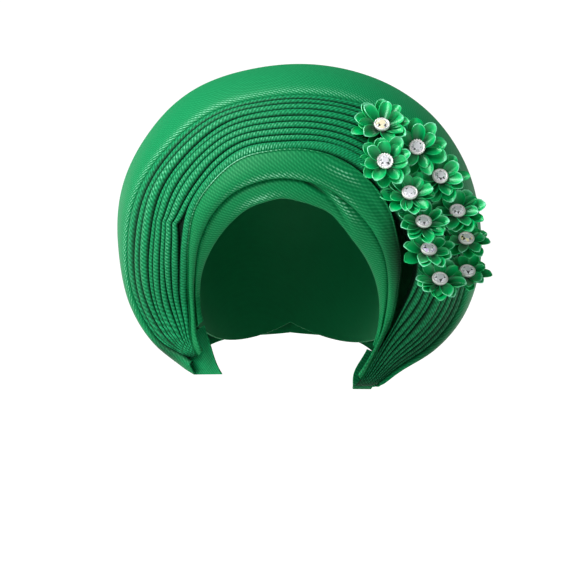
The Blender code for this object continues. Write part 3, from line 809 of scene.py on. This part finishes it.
# The place and the axes of each flower's stone: right, up and out along the flower's face.
flower_frames = []
for number, (angle, share, lift, tilt, size, turn) in enumerate(FLOWERS, start=1):
    near = front(np.array([angle - 2.0, angle, angle + 2.0]), share + np.array([[-0.02, 0.0, 0.02]]))
    away = outward(near)[1, 1]
    place = near[1, 1] + lift * FLOWER_RADIUS * away
    face = np.array([FLOWER_ASIDE, -np.cos(np.radians(tilt)), np.sin(np.radians(tilt))])
    face = face / np.linalg.norm(face)
    right = np.cross(-face, np.array([0, 0, 1.0]))
    right = right / np.linalg.norm(right)
    up = np.cross(right, -face)
    axes = np.stack([right, up, face])
    flower_frames.append((place + 1.0 * face, axes))
    dice = np.random.default_rng(60 + number)
    pieces, tones = [], []
    for k, layer in enumerate(LAYERS):
        points, tone = petals(layer, size, turn + 20 * k, dice)
        pieces.append(points.reshape(-1, PETAL_ROWS, PETAL_COLUMNS, 3))
        tones.append(tone.reshape(-1, PETAL_ROWS, PETAL_COLUMNS))
    grids = np.concatenate(pieces) @ axes + place
    tones = np.concatenate(tones)
    count = len(grids)
    way = np.stack([outward(g) for g in grids])
    walls = np.stack([grids, grids - SATIN_WALL * way], axis=1)
    one = wall_faces(np.arange(PETAL_POINTS).reshape(PETAL_ROWS, PETAL_COLUMNS), PETAL_POINTS)
    faces = (one[None] + 2 * PETAL_POINTS * np.arange(count)[:, None, None]).reshape(-1, 4)
    points = walls.reshape(-1, 3)
    tone = np.repeat(tones.reshape(count, 1, -1), 2, axis=1).ravel()
    foot = near[1, 1] - 1.0 * away
    t = np.arange(STEM_SIDES)[:, None] * 2 * np.pi / STEM_SIDES
    circle = np.cos(t) * right + np.sin(t) * up
    centres = (foot, place - 1.2 * away, place + 1.0 * face)
    stem = np.concatenate([centre + radius * circle for centre, radius in zip(centres, STEM_RADII)])
    index = len(points) + np.arange(3 * STEM_SIDES).reshape(3, STEM_SIDES)
    mesh = bpy.data.meshes.new(f"flower_{number:02d}_satin")
    points = np.concatenate([points, stem]) * MM
    mesh.from_pydata(points.tolist(), [], faces.tolist() + tube_faces(index))
    mark = mesh.attributes.new("painted_shade_and_light", "FLOAT", "POINT")
    # The stem takes the darkest painted shade.
    mark.data.foreach_set("value", np.concatenate([tone, np.full(len(stem), 0.2)]).astype(np.float32))
    mesh.materials.append(satin)
    flower = added(mesh)
    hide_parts(f"flower_{number:02d}")
    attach(flower, "root")

# Settings: pressed cups of silver-plated brass, glued into the flowers. Each holds its stone under a
# rolled rim; two of them have a beaded rim.
SETTING_RADIUS = 6.0
# A setting in section, from under its middle, round the rim and into the cup: radius and height as
# shares of SETTING_RADIUS.
SETTING = np.array([
    (0.30, 0.12), (0.70, 0.12), (0.94, 0.28), (1.02, 0.46), (1.03, 0.58), (0.98, 0.68), (0.90, 0.72),
    (0.81, 0.69), (0.75, 0.58), (0.60, 0.40), (0.27, 0.34),
])
SETTING_ROWS = 31
SETTING_SIDES = 72
BEADED = (2, 3)
BEADS = 18
# Thin bright plating over pressed brass, a little worn: pale grey with soft blurred reflections,
# and a faint painted glow of its own.
silver, tree, shader = started("silver-plated brass", {
    "Metallic": 0.7, "Base Color": linear("fbf6f6"), "Emission Color": linear("ffffff"),
    "Emission Strength": 0.12})
place = put(tree, "ShaderNodeTexCoord", {}).outputs["Object"]
wear = put(tree, "ShaderNodeTexNoise", {"Vector": place, "Scale": 500.0}).outputs["Fac"]
rough = put(tree, "ShaderNodeMapRange", {"Value": wear, "To Min": 0.42, "To Max": 0.60}).outputs[0]
tree.links.new(rough, shader.inputs["Roughness"])
for number, (place, axes) in enumerate(flower_frames, start=1):
    t = np.arange(SETTING_SIDES) * 2 * np.pi / SETTING_SIDES
    row = np.linspace(0, len(SETTING) - 1, SETTING_ROWS)
    radius = through(np.arange(len(SETTING)), SETTING[:, 0], row)[:, None]
    height = through(np.arange(len(SETTING)), SETTING[:, 1], row)[:, None]
    if number in BEADED:
        bead = np.abs(np.sin(0.5 * BEADS * t))[None, :] * np.clip((radius - 0.78) / 0.1, 0, 1)
        radius = radius * (1 + 0.07 * (bead - 0.5))
        height = height * (1 + 0.14 * (bead - 0.5))
    points = np.stack([radius * np.cos(t), radius * np.sin(t), height + 0 * t], axis=-1)
    points = points * SETTING_RADIUS @ axes + place
    index = np.arange(SETTING_ROWS * SETTING_SIDES).reshape(SETTING_ROWS, SETTING_SIDES)
    mesh = bpy.data.meshes.new(f"setting_{number:02d}_silver")
    mesh.from_pydata((points.reshape(-1, 3) * MM).tolist(), [], tube_faces(index))
    mesh.materials.append(silver)
    setting = added(mesh)
    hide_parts(f"setting_{number:02d}")
    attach(setting, "root")

# Stones: round cut glass with a silvered back, one in each setting. A flat table, eight star facets,
# eight kite facets, sixteen girdle facets, and a pavilion below that the setting hides.
STONE_TINT = "f4f4fb"
STONE_TINTS = {1: "fff6cf", 8: "fff2c4", 9: "e9d2ff"}
# The rings of a stone's corners as shares of SETTING_RADIUS: radius and height.
CULET_RING = (0.18, 0.40)
GIRDLE_RING = (0.76, 0.66)
TABLE_RING = (0.44, 0.93)
# Painted reflections of the facets, from nearly dark to full white; those round the table are never dark.
PAINTED_FACET_FLASHES = [0.03, 0.15, 0.6, 0.9, 1.0, 1.0]
PAINTED_STAR_FLASHES = [0.6, 0.9, 1.0]
PAINTED_TABLE_FLASH = 0.75
# Polished glass over silver foil: each facet has its own painted reflection, white or dark, in place
# of the flash of the real cut, and a faint painted glow stands in for the light the foil gives back.
crystal, tree, shader = started("silver-backed cut glass", {
    "Roughness": 0.06, "IOR": 1.55, "Coat Weight": 0.6, "Emission Strength": 0.22})
tint_and_painted_flash = put(tree, "ShaderNodeAttribute", {}, attribute_name="tint_and_painted_flash").outputs["Color"]
tree.links.new(tint_and_painted_flash, shader.inputs["Base Color"])
tree.links.new(tint_and_painted_flash, shader.inputs["Emission Color"])
for number, (place, axes) in enumerate(flower_frames, start=1):
    wide, girdle = GIRDLE_RING[0] * SETTING_RADIUS, GIRDLE_RING[1] * SETTING_RADIUS
    table, top = TABLE_RING[0] * SETTING_RADIUS, TABLE_RING[1] * SETTING_RADIUS
    eight = np.arange(8) * np.pi / 4
    sixteen = np.arange(16) * np.pi / 8
    rings = [
        (CULET_RING[0] * SETTING_RADIUS, CULET_RING[1] * SETTING_RADIUS, sixteen),
        (wide, girdle, sixteen),
        (0.66 * wide, 0.5 * (girdle + top) + 0.3, eight + np.pi / 8),
        (table, top, eight),
    ]
    points = [np.stack([r * np.cos(a), r * np.sin(a), h + 0 * a], axis=-1) for r, h, a in rings]
    points = np.concatenate(points) @ axes + place
    low, mid, star, flat = 0, 16, 32, 40
    faces = [[low + k for k in range(15, -1, -1)], [flat + k for k in range(8)]]
    for k in range(16):
        n = (k + 1) % 16
        faces.append([low + k, low + n, mid + n, mid + k])
    for k in range(8):
        n = (k + 1) % 8
        here, half, then = mid + 2 * k, mid + 2 * k + 1, mid + (2 * k + 2) % 16
        faces += [[here, half, star + k], [half, then, star + k]]
        faces += [[here, star + k, flat + k, star + (k - 1) % 8], [star + k, flat + n, flat + k]]
    mesh = bpy.data.meshes.new(f"stone_{number:02d}_glass")
    mesh.from_pydata((points * MM).tolist(), [], faces)
    dice = np.random.default_rng(70 + number)
    painted_flashes = dice.choice(PAINTED_FACET_FLASHES, len(faces))
    painted_flashes[18::4] = dice.choice(PAINTED_STAR_FLASHES, 8)
    painted_flashes[19::4] = dice.choice(PAINTED_STAR_FLASHES, 8)
    painted_flashes[1] = PAINTED_TABLE_FLASH
    own, usual = linear(STONE_TINTS.get(number, STONE_TINT))[:3], linear(STONE_TINT)[:3]
    colour = painted_flashes[:, None] * np.where(dice.random(len(faces))[:, None] < 0.4, own, usual)
    layer = mesh.attributes.new("tint_and_painted_flash", "FLOAT_COLOR", "FACE")
    layer.data.foreach_set("color", np.concatenate([colour, np.ones((len(faces), 1))], axis=1).ravel())
    mesh.materials.append(crystal)
    stone = added(mesh, smooth=False)
    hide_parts(f"stone_{number:02d}")
    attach(stone, "root")

# Studio, in metres: a pale floor well below the wrap, which is held up at its seat, white near the
# horizon but for the front. A large soft light stands at the upper left, one overhead and a weak one
# at the right.
FLOOR_Z = -0.62
FLOOR_HALF = 40
WRAP_MIDDLE = (0.0, 0.0, -0.08)
floor_mesh = bpy.data.meshes.new("floor")
corners = [(x * FLOOR_HALF, y * FLOOR_HALF, FLOOR_Z) for x, y in ((-1, -1), (1, -1), (1, 1), (-1, 1))]
floor_mesh.from_pydata(corners, [], [(0, 1, 2, 3)])
# Matt backdrop paper: no gloss, and lit to white behind the wrap.
paper, tree, shader = started("pale paper", {
    "Base Color": linear("f7f7f5"), "Roughness": 0.9, "Specular IOR Level": 0.0,
    "Emission Color": linear("ffffff")})
place = put(tree, "ShaderNodeTexCoord", {}).outputs["Object"]
far = put(tree, "ShaderNodeVectorMath", {0: place}, operation="LENGTH").outputs["Value"]
glow_far = put(tree, "ShaderNodeMapRange", {"Value": far, "From Min": 0.9, "From Max": 1.7}).outputs[0]
depth = put(tree, "ShaderNodeSeparateXYZ", {0: place}).outputs["Y"]
glow_back = put(tree, "ShaderNodeMapRange",
                {"Value": depth, "From Min": -0.6, "From Max": 1.0, "To Min": 0.35}).outputs[0]
glow_far = put(tree, "ShaderNodeMath", {0: glow_far, 1: glow_back}, operation="MULTIPLY").outputs[0]
tree.links.new(glow_far, shader.inputs["Emission Strength"])
floor_mesh.materials.append(paper)
floor = bpy.data.objects.new("floor", floor_mesh)
bpy.context.collection.objects.link(floor)
floor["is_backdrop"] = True

# The room: white low down behind the wrap and at the left, and dim overhead and in front.
world = bpy.data.worlds.new("studio")
world.use_nodes = True
bpy.context.scene.world = world
tree = world.node_tree
direction = put(tree, "ShaderNodeTexCoord", {}).outputs["Generated"]
way_out = put(tree, "ShaderNodeSeparateXYZ", {0: direction}).outputs
rise = put(tree, "ShaderNodeMath", {0: way_out["Z"]}, operation="ABSOLUTE").outputs[0]
behind = put(tree, "ShaderNodeMath",
             {0: way_out["X"], 1: -0.6, 2: way_out["Y"]}, operation="MULTIPLY_ADD").outputs[0]
white = put(tree, "ShaderNodeMapRange",
            {"Value": behind, "From Min": -0.9, "From Max": 0.0, "To Min": 0.11, "To Max": 1.08}).outputs[0]
bright = put(tree, "ShaderNodeMapRange",
             {"Value": rise, "From Min": 0.2, "From Max": 0.4, "To Min": white, "To Max": 0.10}).outputs[0]
tree.links.new(bright, tree.nodes["Background"].inputs["Strength"])
tree.nodes["Background"].inputs["Color"].default_value = (1.0, 1.0, 1.0, 1.0)


def soft_light(name, place, aim, size, power):
    """A square area light at `place`, turned towards the point `aim`."""
    light = bpy.data.lights.new(name, "AREA")
    light.shape = "SQUARE"
    light.size = size
    light.energy = power
    lamp = bpy.data.objects.new(name, light)
    lamp.location = place
    back = np.array(place) - np.array(aim)
    tilt = np.arctan2(np.hypot(back[0], back[1]), back[2])
    lamp.rotation_euler = (tilt, 0.0, np.arctan2(back[0], -back[1]))
    bpy.context.collection.objects.link(lamp)


soft_light("key_light", (-1.45, -1.25, 1.25), WRAP_MIDDLE, 1.1, 42.0)
soft_light("top_light", (-0.5, -0.35, 1.35), (0.0, 0.0, -0.04), 0.7, 13.0)
soft_light("fill_light", (1.7, -1.4, 0.2), WRAP_MIDDLE, 1.4, 1.0)

# A long lens straight in front, level, at the height of the middle of the photograph.
camera_data = bpy.data.cameras.new("camera")
camera_data.lens = 117.2
camera_data.sensor_width = 36.0
camera = bpy.data.objects.new("camera", camera_data)
camera.location = (-0.0034, -1.485, -0.1286)
camera.rotation_euler = (np.pi / 2, 0.0, 0.0)
bpy.context.collection.objects.link(camera)
bpy.context.scene.camera = camera
bpy.context.scene.view_settings.view_transform = "Standard"

low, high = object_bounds()
